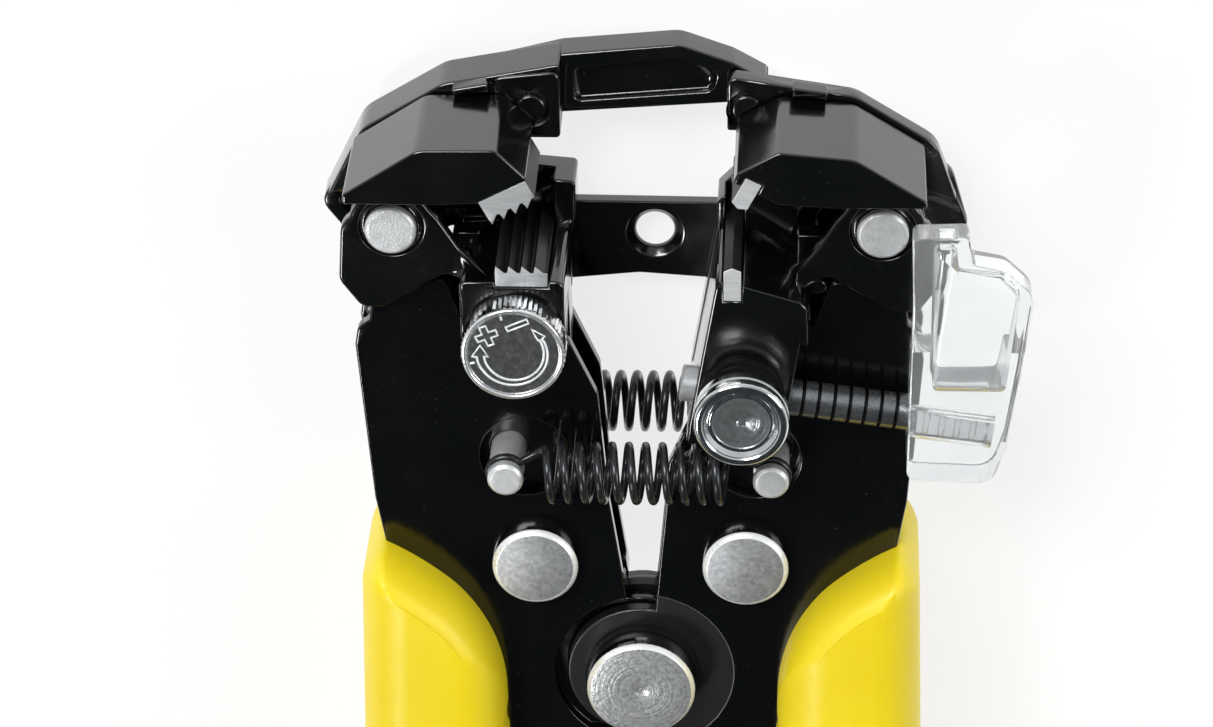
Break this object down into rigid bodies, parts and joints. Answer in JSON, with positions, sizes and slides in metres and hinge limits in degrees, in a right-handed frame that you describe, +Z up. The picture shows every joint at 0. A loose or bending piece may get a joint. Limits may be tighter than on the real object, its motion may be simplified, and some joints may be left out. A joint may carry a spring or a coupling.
{
  "type": "wire stripping pliers",
  "caption": "Wire stripping pliers with black cast arms, yellow moulded grips, closing upper jaws, a knurled tension knob, a push button and a clear length stop.",
  "frame": {"origin": "centre of the tool's box, on the plane that the rear flats of the grips rest on", "axes": "+Y from the grips towards the mouths, +X to the blade side, +Z up out of the front face"},
  "size_m": [0.09, 0.2054, 0.0238],
  "materials": {
    "black_casting": "gloss",
    "black_plate": "gloss",
    "yellow_grip": "satin",
    "rivet_steel": "satin",
    "bright_steel": "satin",
    "dark_steel": "satin",
    "chrome": "gloss",
    "black_oxide": "satin",
    "clear_plastic": "gloss"
  },
  "bodies": {
    "pivot": {"pivot_rivet": "rivet_steel", "front_spring": "dark_steel", "rear_spring": "dark_steel"},
    "left_link": {"hub_spacer": "black_oxide"},
    "left_lever": {"left_lever_front": "black_plate", "left_lever_rear": "black_plate", "left_grip": "yellow_grip", "left_crimp_bar": "dark_steel", "left_bar_rivets": "rivet_steel", "left_arm_rivet": "rivet_steel", "left_drive_pin": "rivet_steel"},
    "left_arm": {"left_arm": "black_casting", "left_spring_post": "rivet_steel", "left_jaw_rivet": "rivet_steel", "lower_grip_insert": "bright_steel", "guide_bridge": "black_casting", "bridge_screws": "rivet_steel", "knob_stud": "rivet_steel"},
    "left_jaw": {"left_upper_jaw": "black_casting", "upper_grip_insert": "bright_steel"},
    "knob": {"tension_knob": "chrome"},
    "right_link": {"front_washer": "black_oxide", "rear_washer": "black_oxide"},
    "right_lever": {"right_lever_front": "black_plate", "right_lever_rear": "black_plate", "right_grip": "yellow_grip", "right_crimp_bar": "dark_steel", "right_bar_rivets": "rivet_steel", "right_arm_rivet": "rivet_steel", "right_drive_pin": "rivet_steel"},
    "right_arm": {"right_arm": "black_casting", "right_spring_post": "rivet_steel", "right_jaw_rivet": "rivet_steel", "lower_blade": "bright_steel", "button_collar": "black_oxide"},
    "right_jaw": {"right_upper_jaw": "black_casting", "upper_blade": "bright_steel"},
    "button": {"stop_button": "chrome"},
    "stop": {"stop_rod": "rivet_steel", "length_stop": "clear_plastic"}
  },
  "joints": [
    {"name": "left_pull", "type": "hinge", "parent": "pivot", "child": "left_link", "pos_m": [0, 0.0393, 0.0098], "axis": [0, 0, 1], "range_deg": [-5.5, 0], "deforming": ["front_spring", "rear_spring"]},
    {"name": "left_close", "type": "hinge", "parent": "left_link", "child": "left_lever", "pos_m": [0, 0.0393, 0.0098], "axis": [0, 0, 1], "range_deg": [0, 6], "stiffness_Nm_per_rad": 0.5, "springref_deg": -2.86},
    {"name": "left_arm_turn", "type": "hinge", "parent": "left_lever", "child": "left_arm", "pos_m": [-0.01, 0.0523, 0.0098], "axis": [0, 0, 1], "range_deg": [-8.5, 0]},
    {"name": "left_jaw_turn", "type": "hinge", "parent": "left_arm", "child": "left_jaw", "pos_m": [-0.0224, 0.0889, 0.0098], "axis": [0, 0, 1], "range_deg": [-27.5, 0]},
    {"name": "knob_turn", "type": "hinge", "parent": "left_arm", "child": "knob", "pos_m": [-0.0111, 0.0792, 0.0098], "axis": [0, 0, 1], "range_deg": [-135, 135]},
    {"name": "right_pull", "type": "hinge", "parent": "pivot", "child": "right_link", "pos_m": [0, 0.0393, 0.0098], "axis": [0, 0, 1], "range_deg": [0, 5.5]},
    {"name": "right_close", "type": "hinge", "parent": "right_link", "child": "right_lever", "pos_m": [0, 0.0393, 0.0098], "axis": [0, 0, 1], "range_deg": [-6, 0]},
    {"name": "right_arm_turn", "type": "hinge", "parent": "right_lever", "child": "right_arm", "pos_m": [0.01, 0.0523, 0.0098], "axis": [0, 0, 1], "range_deg": [0, 8.5]},
    {"name": "right_jaw_turn", "type": "hinge", "parent": "right_arm", "child": "right_jaw", "pos_m": [0.0224, 0.0889, 0.0098], "axis": [0, 0, 1], "range_deg": [0, 27.5]},
    {"name": "button_press", "type": "slide", "parent": "right_arm", "child": "button", "axis": [0, 0, 1], "range_m": [-0.001, 0], "stiffness_N_per_m": 400, "springref_m": 0.0005},
    {"name": "stop_slide", "type": "slide", "parent": "right_arm", "child": "stop", "axis": [0.9902, -0.1395, 0], "range_m": [-0.006, 0]}
  ],
  "couplings": [
    {"joint": "right_pull", "follows": "left_pull", "ratio": -1},
    {"joint": "right_close", "follows": "left_close", "ratio": -1},
    {"joint": "left_arm_turn", "follows": "left_close", "ratio": -1.4167},
    {"joint": "right_arm_turn", "follows": "left_close", "ratio": 1.4167},
    {"joint": "left_jaw_turn", "follows": "left_close", "ratio": -4.5833},
    {"joint": "right_jaw_turn", "follows": "left_close", "ratio": 4.5833}
  ]
}
